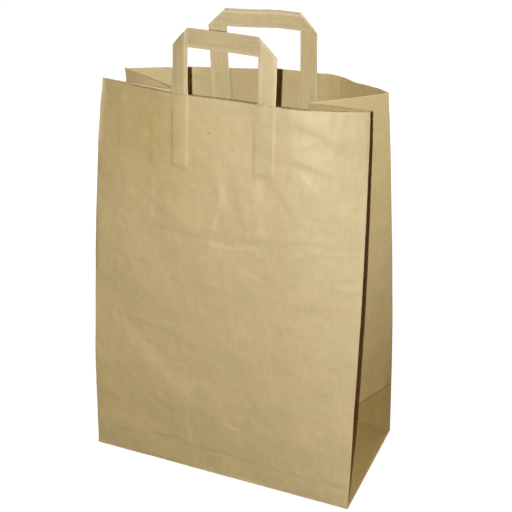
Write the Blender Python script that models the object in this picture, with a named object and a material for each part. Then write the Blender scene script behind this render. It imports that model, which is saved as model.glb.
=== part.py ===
"""A paper carrier bag with a block bottom, side gussets and two flat folded handles.

The bag stands open on its bottom. X runs across the front panel, Y from front to back and Z up.
Places on the paper are given as in the flat sheet: how far across a panel and how far up from the
bottom crease. The functions below fold those places into space.
"""
import math

import bmesh
import bpy
import numpy as np

# The sheet, in metres.
WIDTH = 0.320
DEPTH = 0.170
HEIGHT = 0.450
PAPER = 0.0004
GUSSET_CREASE = 0.072

# How far each rim has moved in from its bottom edge: in the middle, and further at the corners.
# A bend is where the rim leaves its straight middle part, measured from the panel's middle.
FRONT_LEAN = 0.027
FRONT_LEFT_BEND = 0.050
FRONT_LEFT_PULL = 0.022
FRONT_RIGHT_BEND = 0.077
FRONT_RIGHT_PULL = 0.032
FRONT_CURVE = 1.5
BACK_LEAN = 0.0235
BACK_LEFT_BEND = -0.036
BACK_LEFT_PULL = 0.0485
BACK_RIGHT_BEND = 0.075
BACK_RIGHT_PULL = 0.0295
BACK_CURVE = 1.25
# How much each half of a rim is taken in by shallow waves in the paper.
RIM_GATHER = 0.005

# The cut edge of the rim.
TOOTH_PITCH = 0.0033
TOOTH_DEPTH = 0.0012
TOOTH_BAND = 0.012

# The lap seam on the back panel, and the overlap of the two long flaps under the bottom.
SEAM_PLACE = 0.112
SEAM_LAP = 0.016
SEAM_SLOPE = 0.003
FLAP_LAP = 0.022

# The handles: flat strips with two corners folded over at 45 degrees.
HANDLE_SPAN = 0.120
HANDLE_RISE = 0.067
HANDLE_STRIP = 0.020
HANDLE_GLUED = 0.078
HANDLE_THICKNESS = 0.0008
PLY_MARGIN = 0.0035
PLY_STEP = 0.0002
GLUE_GAP = 0.0003

# How finely the paper is divided.
PANEL_COLUMNS = 32
GUSSET_COLUMNS = 4
UPPER_ROWS = 7
STRIP_COLUMNS = 3
BAR_STATIONS = 10
LEG_STATIONS = 4
BEND_STEPS = 24

KRAFT = (0.56, 0.43, 0.24, 1.0)
KRAFT_STRIP = (0.60, 0.47, 0.27, 1.0)

FRONT = (-1.0, FRONT_LEAN, FRONT_LEFT_BEND, FRONT_LEFT_PULL, FRONT_RIGHT_BEND, FRONT_RIGHT_PULL, FRONT_CURVE)
BACK = (1.0, BACK_LEAN, BACK_LEFT_BEND, BACK_LEFT_PULL, BACK_RIGHT_BEND, BACK_RIGHT_PULL, BACK_CURVE)


def rim_lean(across, panel):
    """How far in the rim of a panel stands at a place across it."""
    _, lean, left_bend, left_pull, right_bend, right_pull, curve = panel
    left = max(-across - left_bend, 0.0) / (WIDTH / 2 - left_bend)
    right = max(across - right_bend, 0.0) / (WIDTH / 2 - right_bend)
    return lean + left_pull * left**curve + right_pull * right**curve


def bent_across(across, share, panel):
    """Where a place across the panel lies in X once the panel is bent, at a share of its height."""
    step = across / BEND_STEPS
    total = 0.0
    for index in range(BEND_STEPS):
        rise = rim_lean((index + 1) * step, panel) - rim_lean(index * step, panel)
        total += math.copysign(math.sqrt(max(step**2 - (share * rise) ** 2, 0.0)), across)
    return total


def panel_point(across, up, panel):
    """A place on the outside of the front or back panel. Above the rim it runs on straight."""
    if up > HEIGHT:
        rim = panel_point(across, HEIGHT, panel)
        below = panel_point(across, HEIGHT - PAPER, panel)
        return rim + (rim - below) * (up - HEIGHT) / PAPER
    share = up / HEIGHT
    lean = rim_lean(across, panel)
    x = bent_across(across, share, panel) - RIM_GATHER * share**2 * across / (WIDTH / 2)
    y = panel[0] * (DEPTH / 2 - lean * share)
    return np.array([x, y, up * math.sqrt(1 - (lean / HEIGHT) ** 2)])


def panel_normal(across, up, panel):
    """The direction out of the panel at a place on it."""
    along = panel_point(across + PAPER, up, panel) - panel_point(across - PAPER, up, panel)
    height = min(up, HEIGHT - PAPER)
    rise = panel_point(across, height + PAPER, panel) - panel_point(across, height - PAPER, panel)
    out = np.cross(along, rise) * -panel[0]
    return out / np.linalg.norm(out)


def meeting_point(centres, lengths):
    """The place at three given distances from three others, on the side nearer the bag's middle."""
    first, second, third = centres
    gap = np.linalg.norm(second - first)
    ex = (second - first) / gap
    i = ex @ (third - first)
    ey = third - first - i * ex
    ey = ey / np.linalg.norm(ey)
    ez = np.cross(ex, ey)
    j = ey @ (third - first)
    x = (lengths[0] ** 2 - lengths[1] ** 2 + gap**2) / (2 * gap)
    y = (lengths[0] ** 2 - lengths[2] ** 2 + i**2 + j**2) / (2 * j) - i / j * x
    z = math.sqrt(max(lengths[0] ** 2 - x**2 - y**2, 0.0))
    found = [first + x * ex + y * ey + sign * z * ez for sign in (-1, 1)]
    return min(found, key=lambda point: abs(point[0]))


def gusset_folds(side):
    """The ends of a gusset's middle crease: the low one, where the diagonals meet, and the rim one."""
    corner = side * WIDTH / 2
    half = DEPTH / 2
    foot = np.array([corner, 0.0, 0.0])
    low_corners = [panel_point(corner, GUSSET_CREASE, panel) for panel in (FRONT, BACK)]
    low = meeting_point([*low_corners, foot], [half, half, GUSSET_CREASE])
    rim_corners = [panel_point(corner, HEIGHT, panel) for panel in (FRONT, BACK)]
    high = meeting_point([*rim_corners, low], [half, half, HEIGHT - GUSSET_CREASE])
    return low, high


FOLDS = {side: gusset_folds(side) for side in (-1, 1)}


def gusset_point(across, up, side):
    """A place on a side gusset. Across runs from the front corner, negative, to the back one."""
    low, high = FOLDS[side]
    half = DEPTH / 2
    panel = FRONT if across < 0 else BACK
    corner = panel_point(side * WIDTH / 2, up, panel)
    if up >= GUSSET_CREASE:
        middle = low + (high - low) * (up - GUSSET_CREASE) / (HEIGHT - GUSSET_CREASE)
        return middle + (corner - middle) * abs(across) / half
    share = up / GUSSET_CREASE
    foot = np.array([side * WIDTH / 2, 0.0, 0.0])
    reach = half * (1 - share)
    if abs(across) <= reach:
        return foot + np.array([0.0, across, 0.0]) + (low - foot) * share
    start = foot + np.array([0.0, math.copysign(half, across), 0.0])
    diagonal = start + (low - start) * share
    return diagonal + (corner - diagonal) * (abs(across) - reach) / (half - reach)


def sheet_point(face, place, up):
    """A place on the outside of the sheet, on any of its four faces."""
    if face in ("front", "back"):
        return panel_point(place, up, FRONT if face == "front" else BACK)
    return gusset_point(place, up, 1 if face == "right" else -1)


def sheet_columns():
    """The upright lines of the sheet, once round: the face each is on, its place and its lap height."""
    panel_places = [WIDTH * (i / PANEL_COLUMNS - 0.5) for i in range(PANEL_COLUMNS + 1)]
    gusset_places = [DEPTH * (i / (2 * GUSSET_COLUMNS) - 0.5) for i in range(2 * GUSSET_COLUMNS + 1)]
    seam_end = SEAM_PLACE + SEAM_LAP
    seam = [SEAM_PLACE, SEAM_PLACE + PAPER, seam_end, seam_end + SEAM_SLOPE]
    clear = [p for p in panel_places[1:-1] if min(abs(p - s) for s in seam) > SEAM_SLOPE / 2]
    columns = [("front", place, 0.0) for place in panel_places[:-1]]
    columns += [("right", place, 0.0) for place in gusset_places[:-1]]
    for place in sorted(clear + seam + [WIDTH / 2], reverse=True):
        lapped = SEAM_PLACE + PAPER / 2 < place < seam_end + SEAM_SLOPE / 2
        columns.append(("back", place, PAPER if lapped else 0.0))
    columns += [("left", place, 0.0) for place in reversed(gusset_places[1:])]
    return columns


def toothed_cell(column, after, add):
    """The cut edge between one upright line and the next: teeth, with a valley on each line."""
    face, place, lap = column
    beyond = after[1]
    if after[0] != face:
        beyond = {"front": WIDTH / 2, "right": DEPTH / 2, "back": -WIDTH / 2, "left": -DEPTH / 2}[face]
    teeth = max(1, round(abs(beyond - place) / TOOTH_PITCH))
    cell = []
    for k in range(2 * teeth):
        up = HEIGHT if k % 2 else HEIGHT - TOOTH_DEPTH
        share = k / (2 * teeth)
        first = sheet_point(face, place, up)
        second = sheet_point(face, beyond, up)
        cell.append(add(first + (second - first) * share, lap + (after[2] - lap) * share))
    return cell


def wall_faces(columns, grid, edge):
    """The faces of the four walls, seen from outside, and apart from them the panels' corner cells."""
    faces = []
    corner_cells = []
    count = len(columns)
    for j in range(len(grid) - 1):
        for i, (face, place, _) in enumerate(columns):
            k = (i + 1) % count
            a, b, c, d = grid[j][i], grid[j][k], grid[j + 1][k], grid[j + 1][i]
            at_corner = columns[i - 1][0] != face or columns[k][0] != face
            if j == 0 and at_corner and face in ("front", "back"):
                corner_cells.append((a, b, c, d))
                continue
            # A gusset's cells are split along its diagonal creases, and the rest the same way.
            towards = {"front": 1, "right": 1, "back": -1, "left": -1}[face]
            cell_middle = place + towards * DEPTH / (4 * GUSSET_COLUMNS)
            rising = cell_middle * towards < 0
            faces += [(a, b, c), (a, c, d)] if rising else [(a, b, d), (b, c, d)]
    for i in range(count):
        k = (i + 1) % count
        a, b = grid[-1][i], grid[-1][k]
        tips = edge[i] + [edge[k][0]]
        middle = len(tips) // 2
        faces += [(a, tips[n + 1], tips[n]) for n in range(middle)]
        faces.append((a, b, tips[middle]))
        faces += [(b, tips[n + 1], tips[n]) for n in range(middle, len(tips) - 1)]
    return faces, corner_cells


def inward_steps(points, faces):
    """The step from each outside point to the inside of the paper, square to the faces it is on."""
    normals = [[] for _ in points]
    for face in faces:
        first, second, *others = (points[i] for i in face)
        normal = np.zeros(3)
        for third in others:
            normal += np.cross(second - first, third - first)
            second = third
        for i in face:
            normals[i].append(normal / np.linalg.norm(normal))
    steps = []
    for own in normals:
        rows = np.array(own)
        # The small term keeps the step short where the faces are almost, but not quite, flat.
        spread = rows.T @ rows / len(rows) + 0.01 * np.eye(3)
        steps.append(np.linalg.solve(spread, rows.mean(axis=0) * -PAPER))
    return steps


def floor_point(point, floor):
    """Where the inside of a wall meets the inside of the bottom, at the foot of an upright line."""
    low = FOLDS[1][0]
    slope = math.atan2(WIDTH / 2 - low[0], low[2])
    room_x = WIDTH / 2 - PAPER / math.cos(slope) - floor * math.tan(slope)
    room_y = DEPTH / 2 - PAPER - floor * BACK_LEAN / HEIGHT
    x = math.copysign(min(abs(point[0]), room_x), point[0])
    y = math.copysign(min(abs(point[1]), room_y), point[1])
    return np.array([x, y, floor])


def zipped(near, far, points):
    """Triangles between two chains of points that run the same way in X."""
    faces = []
    i = j = 0
    way = points[near[-1]][0] - points[near[0]][0]
    while i < len(near) - 1 or j < len(far) - 1:
        ahead_near = (points[near[min(i + 1, len(near) - 1)]][0] - points[far[j]][0]) * way
        ahead_far = (points[far[min(j + 1, len(far) - 1)]][0] - points[near[i]][0]) * way
        if j == len(far) - 1 or (i < len(near) - 1 and ahead_near <= ahead_far):
            faces.append((near[i], near[i + 1], far[j]))
            i += 1
        else:
            faces.append((near[i], far[j + 1], far[j]))
            j += 1
    return faces


def bottom_faces(columns, feet, corner_cells, inner, points):
    """The block bottom, as it is folded.

    The long flap from the back covers the one from the front, and both cover the folded ends, so the
    three lie one paper thickness apart. A toe is the lower of the two places that a corner has.
    """
    run = {name: [foot for foot, column in zip(feet, columns) if column[0] == name]
           for name in ("front", "right", "back", "left")}

    def place(x, y, z):
        points.append(np.array([x, y, z]))
        return len(points) - 1

    toes = {}
    for name, level in (("front", PAPER), ("back", 0.0)):
        after = "right" if name == "front" else "left"
        for foot in (run[name][0], run[after][0]):
            toes[foot] = place(points[foot][0], points[foot][1], level)
    faces = []
    for first, second, third, fourth in corner_cells:
        if first in toes:
            faces += [(second, third, fourth), (second, fourth, first), (second, first, toes[first])]
        else:
            faces += [(first, toes[second], second), (first, second, third), (first, third, fourth)]

    half = (WIDTH - DEPTH) / 2
    reach = half - FLAP_LAP
    apex = {side: [place(side * half, 0.0, level * PAPER) for level in range(3)] for side in (-1, 1)}
    free = {side: [place(side * reach, -FLAP_LAP, level * PAPER) for level in range(2)] for side in (-1, 1)}
    front = [toes[run["front"][0]], *run["front"][1:], toes[run["right"][0]]]
    back = [toes[run["back"][0]], *run["back"][1:], toes[run["left"][0]]]
    faces += zipped(back, [apex[1][0], free[1][0], free[-1][0], apex[-1][0]], points)
    faces += zipped(front, [apex[-1][1], free[-1][1], free[1][1], apex[1][1]], points)
    faces.append((free[-1][0], free[-1][1], free[1][1], free[1][0]))
    for side, name, after in ((1, "right", "back"), (-1, "left", "front")):
        mouth = [*run[name], run[after][0]]
        faces += [(mouth[n], mouth[n + 1], apex[side][2]) for n in range(len(mouth) - 1)]
        front_foot, back_foot = (mouth[0], mouth[-1]) if side > 0 else (mouth[-1], mouth[0])
        low, middle, high = apex[side]
        faces += [(low, middle, free[side][1], free[side][0])]
        faces += [(toes[back_foot], back_foot, high), (toes[back_foot], high, middle)]
        faces += [(toes[back_foot], middle, low)]
        faces += [(toes[front_foot], front_foot, high), (toes[front_foot], high, middle)]

    centre = place(0.0, 0.0, points[inner[0]][2])
    faces += [(inner[n], inner[n - 1], centre) for n in range(len(inner))]
    return faces


def build_mesh(name, points, faces, colour):
    """One named object from points and faces, with its own plain material."""
    mesh = bpy.data.meshes.new(name)
    form = bmesh.new()
    verts = [form.verts.new(point) for point in points]
    for face in faces:
        form.faces.new([verts[i] for i in face])
    bmesh.ops.triangulate(form, faces=form.faces[:])
    bmesh.ops.recalc_face_normals(form, faces=form.faces[:])
    form.to_mesh(mesh)
    form.free()
    piece = bpy.data.objects.new(name, mesh)
    bpy.context.scene.collection.objects.link(piece)
    material = bpy.data.materials.new(name + "_paper")
    material.use_nodes = True
    shader = material.node_tree.nodes["Principled BSDF"]
    shader.inputs["Base Color"].default_value = colour
    shader.inputs["Roughness"].default_value = 0.8
    mesh.materials.append(material)
    return piece


def bag_body():
    """The folded sheet: four walls, the toothed rim and the block bottom, as one closed solid."""
    columns = sheet_columns()
    low_rows = [GUSSET_CREASE * i / GUSSET_COLUMNS for i in range(GUSSET_COLUMNS)]
    reach = HEIGHT - TOOTH_BAND - GUSSET_CREASE
    high_rows = [GUSSET_CREASE + reach * i / UPPER_ROWS for i in range(UPPER_ROWS + 1)]
    points = []
    laps = []

    def add(point, lap):
        points.append(point)
        laps.append(lap)
        return len(points) - 1

    rows = low_rows + high_rows
    grid = [[add(sheet_point(face, place, up), lap) for face, place, lap in columns] for up in rows]
    edge = [toothed_cell(column, columns[(i + 1) % len(columns)], add) for i, column in enumerate(columns)]
    faces, corner_cells = wall_faces(columns, grid, edge)

    steps = inward_steps(points, faces + corner_cells)
    outer = [point - step * lap / PAPER for point, step, lap in zip(points, steps, laps)]
    inner = [point + step for point, step in zip(points, steps)]
    foot_levels = {"front": PAPER, "back": 0.0, "left": 2 * PAPER, "right": 2 * PAPER}
    for i, foot in enumerate(grid[0]):
        at_corner = columns[i - 1][0] != columns[i][0]
        outer[foot][2] = 2 * PAPER if at_corner else foot_levels[columns[i][0]]
        inner[foot] = floor_point(points[foot], 3 * PAPER)

    shift = len(points)
    lining = [tuple(shift + i for i in reversed(face)) for face in faces + corner_cells]
    rim = [i for cell in edge for i in cell]
    thickness = [(rim[n - 1], rim[n], rim[n] + shift, rim[n - 1] + shift) for n in range(len(rim))]
    both = outer + inner
    bottom = bottom_faces(columns, grid[0], corner_cells, [foot + shift for foot in grid[0]], both)
    return build_mesh("bag_body", both, faces + lining + thickness + bottom, KRAFT)


def handle(name, panel):
    """One folded strip: two legs glued inside the panel, and a bar on the inner side of the legs.

    The strip is turned over along 45 degree folds. Each cross line of it has a shown side, which faces
    out on the legs, and a hidden side. A share of 0 is the strip's edge that runs up the outside of a
    leg and then along under the bar.
    """
    left = -HANDLE_SPAN / 2
    right = HANDLE_SPAN / 2
    start = HEIGHT - HANDLE_GLUED
    knee = HEIGHT + HANDLE_RISE - HANDLE_STRIP
    turn = math.sqrt(2) * HANDLE_THICKNESS
    plain = [i / STRIP_COLUMNS for i in range(STRIP_COLUMNS + 1)]
    ply_low = 1 - PLY_MARGIN / HANDLE_STRIP
    ply_high = ply_low - PLY_STEP / HANDLE_STRIP
    raised = [share for share in plain if share < ply_high] + [ply_high]
    plies = [(share, PLY_STEP) for share in raised] + [(ply_low, 0.0), (1.0, 0.0)]
    leg_front = -(PAPER + GLUE_GAP + PLY_STEP)
    leg_back = leg_front - HANDLE_THICKNESS
    bar_front = leg_back - GLUE_GAP
    bar_back = bar_front - HANDLE_THICKNESS

    def leg_place(side, along, share, inset):
        """A place on a leg, from its glued end, 0, to its 45 degree fold, 1."""
        edge = left if side < 0 else right
        fold = knee + HANDLE_STRIP * share - inset
        return edge - side * HANDLE_STRIP * share, start + (fold - start) * along

    def bar_place(along, share, inset):
        """A place on the bar, from the left fold, 0, to the right fold, 1."""
        begin = left + HANDLE_STRIP * share + inset
        end = right - HANDLE_STRIP * share - inset
        return begin + (end - begin) * along, knee + HANDLE_STRIP * share

    stations = [(-1, i / LEG_STATIONS) for i in range(LEG_STATIONS + 1)]
    stations += [(0, i / BAR_STATIONS) for i in range(BAR_STATIONS + 1)]
    stations += [(1, 1 - i / LEG_STATIONS) for i in range(LEG_STATIONS + 1)]
    points = []

    def add_line(side, along, shares, out, inset):
        line = []
        for share, ply in shares:
            across, up = leg_place(side, along, share, inset) if side else bar_place(along, share, inset)
            away = out + ply * (1 if side else -1)
            points.append(panel_point(across, up, panel) + panel_normal(across, up, panel) * away)
            line.append(len(points) - 1)
        return line

    shown = []
    hidden = []
    for side, along in stations:
        shown_out = leg_front if side else bar_back
        hidden_out = leg_back if side else bar_front
        shown.append(add_line(side, along, plies, shown_out, 0.0))
        hidden.append(add_line(side, along, [(share, 0.0) for share in plain], hidden_out, turn))

    faces = []
    for j in range(len(stations) - 1):
        for row in (shown, hidden):
            for i in range(len(row[j]) - 1):
                faces.append((row[j][i], row[j][i + 1], row[j + 1][i + 1]))
                faces.append((row[j][i], row[j + 1][i + 1], row[j + 1][i]))
        for i in (0, -1):
            faces.append((shown[j][i], shown[j + 1][i], hidden[j + 1][i], hidden[j][i]))
    faces += [tuple(shown[j] + hidden[j][::-1]) for j in (0, -1)]
    return build_mesh(name, points, faces, KRAFT_STRIP)


for old in list(bpy.data.objects):
    bpy.data.objects.remove(old, do_unlink=True)

bag_body()
handle("front_handle", FRONT)
handle("back_handle", BACK)
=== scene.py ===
"""The looks of a kraft paper carrier bag: one folded, creased sheet and two folded strip handles.

Places on the paper are given as in the flat sheet, in metres: how far across a face and how far up
from the bottom crease. The folding functions turn them into space, as the frame's solids do. Marks
in the paper, such as creases and dents, are listed in millimetres.
"""
import math

import bpy
import numpy as np
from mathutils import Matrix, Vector


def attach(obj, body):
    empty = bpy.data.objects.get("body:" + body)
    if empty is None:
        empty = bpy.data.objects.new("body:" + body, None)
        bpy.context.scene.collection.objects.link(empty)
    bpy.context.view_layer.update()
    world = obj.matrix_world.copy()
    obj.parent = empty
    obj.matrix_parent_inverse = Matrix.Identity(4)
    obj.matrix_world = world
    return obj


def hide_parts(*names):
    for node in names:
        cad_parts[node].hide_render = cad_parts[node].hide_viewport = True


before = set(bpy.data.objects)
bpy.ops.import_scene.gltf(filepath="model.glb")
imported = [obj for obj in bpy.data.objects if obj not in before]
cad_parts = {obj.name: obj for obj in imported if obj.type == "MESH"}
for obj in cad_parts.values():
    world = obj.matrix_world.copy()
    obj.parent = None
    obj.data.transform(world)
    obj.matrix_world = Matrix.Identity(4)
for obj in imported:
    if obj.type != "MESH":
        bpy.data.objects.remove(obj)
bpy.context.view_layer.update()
MM = 0.001

# The sheet and its folds, as in the frame. Only the gusset crease lies 3.5 mm higher, and the lap seam
# 23.5 mm nearer the middle, as photographed.
WIDTH = 0.320
DEPTH = 0.170
HEIGHT = 0.450
GUSSET_CREASE = 0.0755
FRONT_LEAN = 0.027
FRONT_LEFT_BEND = 0.050
FRONT_CURVE = 1.5
BACK_LEAN = 0.0235
BACK_CURVE = 1.25
RIM_GATHER = 0.005
BEND_STEPS = 24
# Each panel: its side of the bag, how far its rim leans in, where its left end starts to bend and how
# far it is pulled in, the same for its right end, and the curve of both bends.
PANELS = {
    "front": (-1.0, FRONT_LEAN, FRONT_LEFT_BEND, 0.022, 0.077, 0.032, FRONT_CURVE),
    "back": (1.0, BACK_LEAN, -0.036, 0.0485, 0.075, 0.0295, BACK_CURVE),
}
FACES = ("front", "right", "back", "left")

# The paper as it is seen: thinner than the frame's solid, with a fine toothed rim.
SHEET_THICKNESS = 0.0003
TOOTH_PITCH = 0.0030
TOOTH_DEPTH = 0.0014
TOOTH_BAND = 0.0019
# Painted shadow in each tooth valley of the panels' rim, against the lighter tone of each tip.
VALLEY_SHADOW_TONE = (0.30, 0.20, 0.13)
TIP_TONE = (0.98, 0.95, 0.90)
PANEL_CELLS = 150
GUSSET_CELLS = 40
ROW_HEIGHT = 0.0020
FOLD_ROUND = (0.0007, 0.0017)
SEAM_PLACE = 0.0885
SEAM_LAP = 0.016
SEAM_SLOPE = 0.003
FLAP_LAP = 0.022
FLAP_PLY = 0.0002
FLAP_INSET = 0.001
FLOOR_LEVEL = 0.0006
FOOT_TURN = 0.0007

# The handles: flat strips with two corners folded over at 45 degrees, glued inside the panels.
HANDLE_SPAN = 0.120
HANDLE_RISE = 0.067
HANDLE_STRIP = 0.020
HANDLE_GLUED = 0.078
STRIP_THICKNESS = 0.0006
PLY_MARGIN = 0.0035
PLY_STEP = 0.0002
GLUE_GAP = 0.0001
BAR_GAP = 0.0003
FOLD_TURN = 0.0005
# How far the free part of each handle bows out, and how far its left and right legs turn back, in mm.
HANDLE_BOW = {"front": (1.8, 3.8, 3.0), "back": (0.0, 0.0, 1.5)}
HANDLE_STRETCH = {"front": 1.0, "back": 1.028}
HANDLE_TILT = {"front": -0.0165, "back": -0.034}
HANDLE_SINK = {"front": -0.0008, "back": 0.0012}
# The bow sets in over this zone of height, and a leg's turn over its reach from its inner edge.
BOW_ZONE = (HEIGHT - 0.014, HEIGHT + 0.022)
LEG_INNER = 0.036
LEG_TURN_REACH = 0.024
LEG_TURN_CURVE = 1.3
HANDLE_WAVES = ((0.15, 24), (0.06, 9))
BAR_STATIONS = 28
LEG_STATIONS = 26
HIDDEN_SIDE_SHIFT = 0.03

# How the bag in the photograph departs from straight folds, in millimetres: the bottom is a little
# askew, which fades out over FOOT_REACH metres, and the front left edge bellies out between a
# pulled-in foot and rim.
FOOT_SHIFT = {
    ("front", -1): (0.2, 3.7),
    ("front", 1): (2.0, -1.7),
    ("back", 1): (0.8, -2.1),
    ("back", -1): (0.5, 2.0),
}
FOOT_REACH = 0.120
BELLY_HEIGHTS = (0, 40, 88, 140, 285, 380, 415, 450)
BELLY = (0.0, -1.4, -2.4, -4.6, -6.3, -5.0, -2.6, 1.6)
BACK_EDGE_HEIGHTS = (0, 120, 240, 340, 450)
BACK_EDGE = (0.0, 1.0, 0.5, 0.2, -0.4)
BACK_LEFT_EDGE = -2.0
# The upright folds waver in X and Y: by how much in mm, and over what length in metres.
EDGE_WAVES = ((0.22, 0.034), (0.30, 0.046))
EDGE_FADE = 0.008
# The back panel stands a little high at the rim, which waves: place across, how wide, how high.
BACK_RISE = 1.2
RIM_WAVES = ((80, 12, 0.9), (112, 11, -1.6), (148, 10, 0.9), (-75, 16, 0.5), (-20, 14, -0.4), (15, 12, 0.4))

# Creases in the front panel: places (across, up), rise, how sharp and how far it fades, all in mm. A
# positive rise stands above, or right of, a line that is drawn left to right, or downwards.
FRONT_CREASES = [
    (((-70, 298), (-10, 296), (17, 299), (63, 304), (80, 306)), 0.17, 2.8, 13),
    (((70, 305), (112, 309), (150, 311)), 0.07, 4.0, 13),
    (((-10, 278), (12, 277), (67, 283), (113, 293), (156, 297)), 0.10, 1.8, 10),
    (((0, 364), (1, 352), (3, 342)), -0.45, 3.6, 9),
    (((3, 346), (-1, 332), (-5, 318)), -0.36, 3.2, 9),
    (((-5, 320), (-10, 296), (-10, 280)), -0.24, 1.7, 8),
    (((15, 360), (17, 348), (25, 318)), 0.42, 5.0, 11),
    (((43, 364), (46, 340), (49, 314)), -0.34, 4.5, 10),
    (((60, 364), (64, 338), (70, 312)), 0.30, 5.0, 10),
    (((94, 428), (106, 424), (120, 415)), 2.2, 8.5, 13),
    (((88, 392), (104, 387), (119, 381)), 0.52, 3.5, 9),
    (((93, 380), (111, 362)), -0.30, 2.2, 8),
    (((64, 361), (79, 343)), 0.24, 3.5, 9),
    (((-8, 289), (12, 288), (36, 293)), -0.42, 3.0, 8),
    (((112, 299), (158, 300)), -0.16, 4.0, 9),
    (((-10, 238), (18, 234), (41, 235), (67, 233), (100, 231), (137, 230)), 0.10, 1.1, 9),
    (((-126, 173), (-106, 158), (-88, 141)), -0.45, 11.0, 24),
    (((-90, 143), (-66, 122), (-42, 103)), -0.45, 12.0, 26),
    (((-100, 178), (-70, 174), (-41, 167)), 0.26, 3.5, 11),
    (((-113, 105), (-92, 90), (-70, 78)), 0.28, 3.5, 11),
    (((-37, 88), (-39, 60), (-34, 49), (-35, 38)), -0.20, 1.3, 7),
    (((-122, 28), (-53, 37), (-36, 30), (8, 31), (32, 30), (62, 28), (100, 26), (156, 27)), 0.14, 1.0, 7),
    (((34, 112), (61, 88)), 0.14, 1.8, 9),
    (((-86, 434), (-85, 372), (-79, 351), (-66, 343)), 0.12, 1.5, 8),
    (((-103, 339), (-70, 318)), 0.14, 2.5, 9),
    (((-150, 424), (-118, 430)), 0.20, 3.0, 12),
]
# The paper tents over each glued leg: left edge, right edge and foot, in mm.
PADS = {
    "front": [(-58.5, -40.5, 371), (36.5, 59.0, 374)],
    "back": [(-60.0, -39.0, 372), (39.0, 60.0, 372)],
}
PAD_RISE = 0.9
PAD_SOFT = 0.6
PULP_SPECK = (0.144, 0.4115, 0.0)
WORN_PALE = (0.90, 0.80, 0.62, 1.0)
LOOSE_CREASES = {"front": 26, "back": 44, "left": 16, "right": 12}

# The relief of the whole sheet: how high and how wide its waves are, in mm.
RELIEF = ((0.9, 74), (0.6, 41), (0.33, 17), (0.19, 7.5))
# A crease comes and goes along its line, by waves of a strength and width. A bold one keeps its height.
CREASE_STRENGTH = 1.7
CREASE_WAVES = ((1.5, 19), (0.5, 8))
BOLD_CREASE = 0.35
CREASE_WEAR = 0.12
# The rim flutters: its rise, the length of a wave and how far down it reaches, in mm.
FLUTTER_RISE = 0.26
FLUTTER_LENGTH = 2.3
FLUTTER_REACH = 26
# Marks calm down near a fold, and the fold itself is worn.
CALM_REACH = 5.0
FOLD_WEAR = 0.14
FOLD_WEAR_WIDTH = 0.9
# The gussets bulge along their crease line, by (rise, reach), and step at it, by (rise, sharp, reach).
# Both die out near the upright folds, and all other marks are weaker there. LAP_EDGE is the seam's edge.
GUSSET_BULGE = (1.4, 15)
GUSSET_STEP = (0.6, 0.8, 6)
GUSSET_HALF_EDGE = 14
GUSSET_CALM = 0.5
LAP_EDGE = 0.5

# Painted light and shade, with tones read from the photograph. Where the paper is painted in shade
# it is warm and loses these shares of red, green and blue; below 0 it is painted lighter. Spots are
# (across, up, half width, half height) in mm.
SHADE_LOSS = (0.05, 0.10, 0.28)
SHADE_LEFT = 0.15
SHADE_LOW = 0.18
# Painted shade fills the upper left spot and painted light the lower left one. The back panel's rim is
# painted in shade from these heights up, lighter left of these places and darker right of them.
UPPER_LEFT_SHADE_SPOT = (-84, 410, 54, 62)
LOWER_LEFT_LIGHT_SPOT = (-105, 85, 55, 65)
BACK_SHADE_HEIGHTS = (330, 430)
BACK_SHADE_PLACES = (-95, -45)
# The painted shade, or below 0 painted light, that each gusset has at its rim.
GUSSET_RIM_SHADE = {"right": 0.6, "left": -0.4}
# The painted shadow line under a gusset's crease: how dark, how far down and how wide, in mm.
CREASE_SHADOW_LINE = (0.2, 0.9, 1.1)
# Painted shade dims a strip's bar and right leg in front, painted light brightens the back legs, and a
# painted shadow darkens the bars' top edges.
BAR_SHADE = 0.12
RIGHT_LEG_SHADE = 0.05
BACK_LEG_LIGHT = -0.05
TOP_EDGE_SHARE = 0.97
TOP_EDGE_SHADOW_LOSS = (0.30, 0.38, 0.45)

# The camera of the photograph, and the flash beside its lens.
LOOK_AT = Vector((0.0, 0.0, 0.225))
AZIMUTH = math.radians(23.11)
ELEVATION = math.radians(26.64)
CAMERA_DISTANCE = 1.3154
IMAGE_SIZE = 512
FOCAL_PIXELS = 1150.0
CENTRE_PIXEL = (244.9, 272.7)
SENSOR_WIDTH = 36.0
FLASH_LEFT = 0.055
FLASH_DOWN = 0.002
FLASH_SIZE = 0.012
FLASH_POWER = 16.0
# Weak lamps for the sides that the photograph doesn't show: place, size in metres and power in watts.
LAMPS = {
    "back_lamp": ((0.14, 1.95, 0.3), 0.9, 27.0),
    "left_lamp": ((-1.65, 1.0, 0.45), 0.9, 24.0),
    "top_lamp": ((0.0, 0.1, 1.8), 0.6, 6.0),
}


def eased(value, stops, levels):
    """A smooth curve that passes level at each of its stops."""
    result = np.full(np.shape(value), float(levels[0]))
    for start, end, low, high in zip(stops, stops[1:], levels, levels[1:]):
        share = np.clip((value - start) / (end - start), 0.0, 1.0)
        result = result + (high - low) * share * share * (3 - 2 * share)
    return result


def soft_noise(x, y, size, seed):
    """Smooth repeatable noise between -1 and 1, with cells of one size."""
    turn = 0.4 + 1.3 * seed
    gx = (x * math.cos(turn) - y * math.sin(turn)) / size
    gy = (x * math.sin(turn) + y * math.cos(turn)) / size
    ix, iy = np.floor(gx), np.floor(gy)
    fx, fy = gx - ix, gy - iy
    fx, fy = fx * fx * (3 - 2 * fx), fy * fy * (3 - 2 * fy)

    def corner(cx, cy):
        wave = np.sin(cx * 127.1 + cy * 311.7 + seed * 74.7) * 43758.5453
        return 2 * (wave - np.floor(wave)) - 1

    low = corner(ix, iy) * (1 - fx) + corner(ix + 1, iy) * fx
    high = corner(ix, iy + 1) * (1 - fx) + corner(ix + 1, iy + 1) * fx
    return low * (1 - fy) + high * fy


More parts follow.
